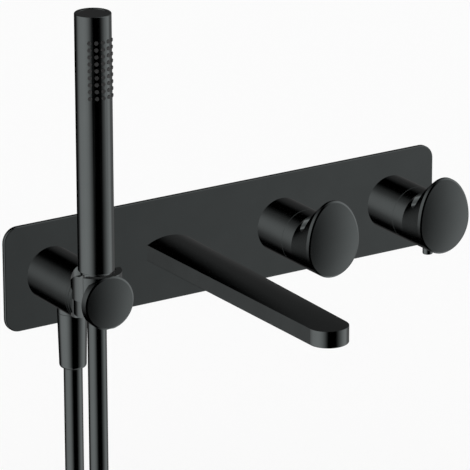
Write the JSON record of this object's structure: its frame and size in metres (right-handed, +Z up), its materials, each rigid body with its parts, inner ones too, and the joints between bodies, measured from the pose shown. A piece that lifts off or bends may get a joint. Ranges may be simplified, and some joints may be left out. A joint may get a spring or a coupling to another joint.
{
  "type": "wall mounted bath faucet",
  "caption": "Wall plate with a flat spout, a flow and diverter knob, a thermostat knob with a safety button, and a stick hand shower on a hose in a holder.",
  "frame": {"origin": "middle of the wall plate's back face, which lies on the finished wall", "axes": "+X to the right along the wall and the plate, -Y straight out of the wall towards the user, +Z up"},
  "size_m": [0.4165, 0.2756, 0.572],
  "materials": {
    "matt_black": "satin black coating over brass, fine and even",
    "brass": "machined and cast",
    "rubber": "moulded",
    "steel": "turned",
    "ceramic": "lapped ceramic",
    "hose": "smooth satin sheath",
    "tie": "woven hook and loop strap",
    "plastic": "moulded"
  },
  "bodies": {
    "wall_unit": {"wall_plate": "matt_black", "plate_gasket": "rubber", "valve_body": "brass", "check_valve_cages": "plastic", "diverter_cartridge": "plastic", "diverter_fixed_disc": "ceramic", "thermostat_cartridge": "plastic", "cartridge_nuts": "brass", "stop_ring": "plastic", "diverter_sleeve": "matt_black", "thermostat_sleeve": "matt_black", "spout_body": "matt_black", "spout_spigot": "brass", "spout_orings": "rubber", "spout_grub_screw": "steel", "aerator_ring": "matt_black", "aerator_insert": "plastic", "aerator_seal": "rubber", "holder_column": "matt_black", "holder_collar": "matt_black", "outlet_elbow": "brass", "holder_cup": "matt_black", "cup_liner": "plastic", "holder_stud": "brass", "holder_cap": "matt_black", "outlet_nut": "matt_black", "outlet_washer": "rubber", "outlet_tail": "brass", "hose_outlet_leg": "hose", "hose_lower_leg": "hose", "hose_coil": "hose", "hose_tie": "tie"},
    "hand_shower": {"hand_shower_body": "matt_black", "hand_shower_top": "matt_black", "nozzle_pad": "rubber", "hand_shower_liner": "plastic", "hand_shower_end": "brass", "shower_nut": "matt_black", "shower_washer": "rubber", "shower_tail": "brass", "hose_shower_leg": "hose"},
    "diverter_knob": {"diverter_handle": "matt_black", "diverter_adapter": "plastic", "diverter_adapter_screw": "steel", "diverter_grub_screw": "steel", "diverter_spindle": "brass", "diverter_turning_disc": "ceramic"},
    "thermostat_knob": {"thermostat_handle": "matt_black", "thermostat_adapter": "plastic", "thermostat_adapter_screw": "steel", "thermostat_grub_screw": "steel", "thermostat_spindle": "brass", "button_spring": "steel"},
    "safety_button": {"safety_button": "matt_black"},
    "regulator": {"thermostat_piston": "brass", "wax_element": "steel"},
    "hot_check": {"hot_check_poppet": "plastic"},
    "cold_check": {"cold_check_poppet": "plastic"}
  },
  "joints": [
    {"name": "hand_shower_lift", "type": "slide", "parent": "wall_unit", "child": "hand_shower", "axis": [0, 0, 1], "range_m": [0, 0.06]},
    {"name": "diverter_turn", "type": "hinge", "parent": "wall_unit", "child": "diverter_knob", "pos_m": [0.05, -0.04, 0], "axis": [0, -1, 0], "range_deg": [-90, 90]},
    {"name": "thermostat_turn", "type": "hinge", "parent": "wall_unit", "child": "thermostat_knob", "pos_m": [0.15, -0.04, 0], "axis": [0, -1, 0], "range_deg": [-130, 50]},
    {"name": "safety_button_press", "type": "slide", "parent": "thermostat_knob", "child": "safety_button", "axis": [0, 0, 1], "range_m": [0, 0.0025], "stiffness_N_per_m": 200, "springref_m": -0.004, "deforming": ["button_spring"]},
    {"name": "thermostat_regulation", "type": "slide", "parent": "wall_unit", "child": "regulator", "axis": [0, 1, 0], "range_m": [-0.0005, 0.0009]},
    {"name": "hot_check_lift", "type": "slide", "parent": "wall_unit", "child": "hot_check", "axis": [0, 0, 1], "range_m": [0, 0.002], "stiffness_N_per_m": 40, "springref_m": -0.004},
    {"name": "cold_check_lift", "type": "slide", "parent": "wall_unit", "child": "cold_check", "axis": [0, 0, 1], "range_m": [0, 0.002], "stiffness_N_per_m": 40, "springref_m": -0.004}
  ],
  "couplings": [
    {"joint": "thermostat_regulation", "follows": "thermostat_turn", "m_per_rad": -0.00031831}
  ]
}
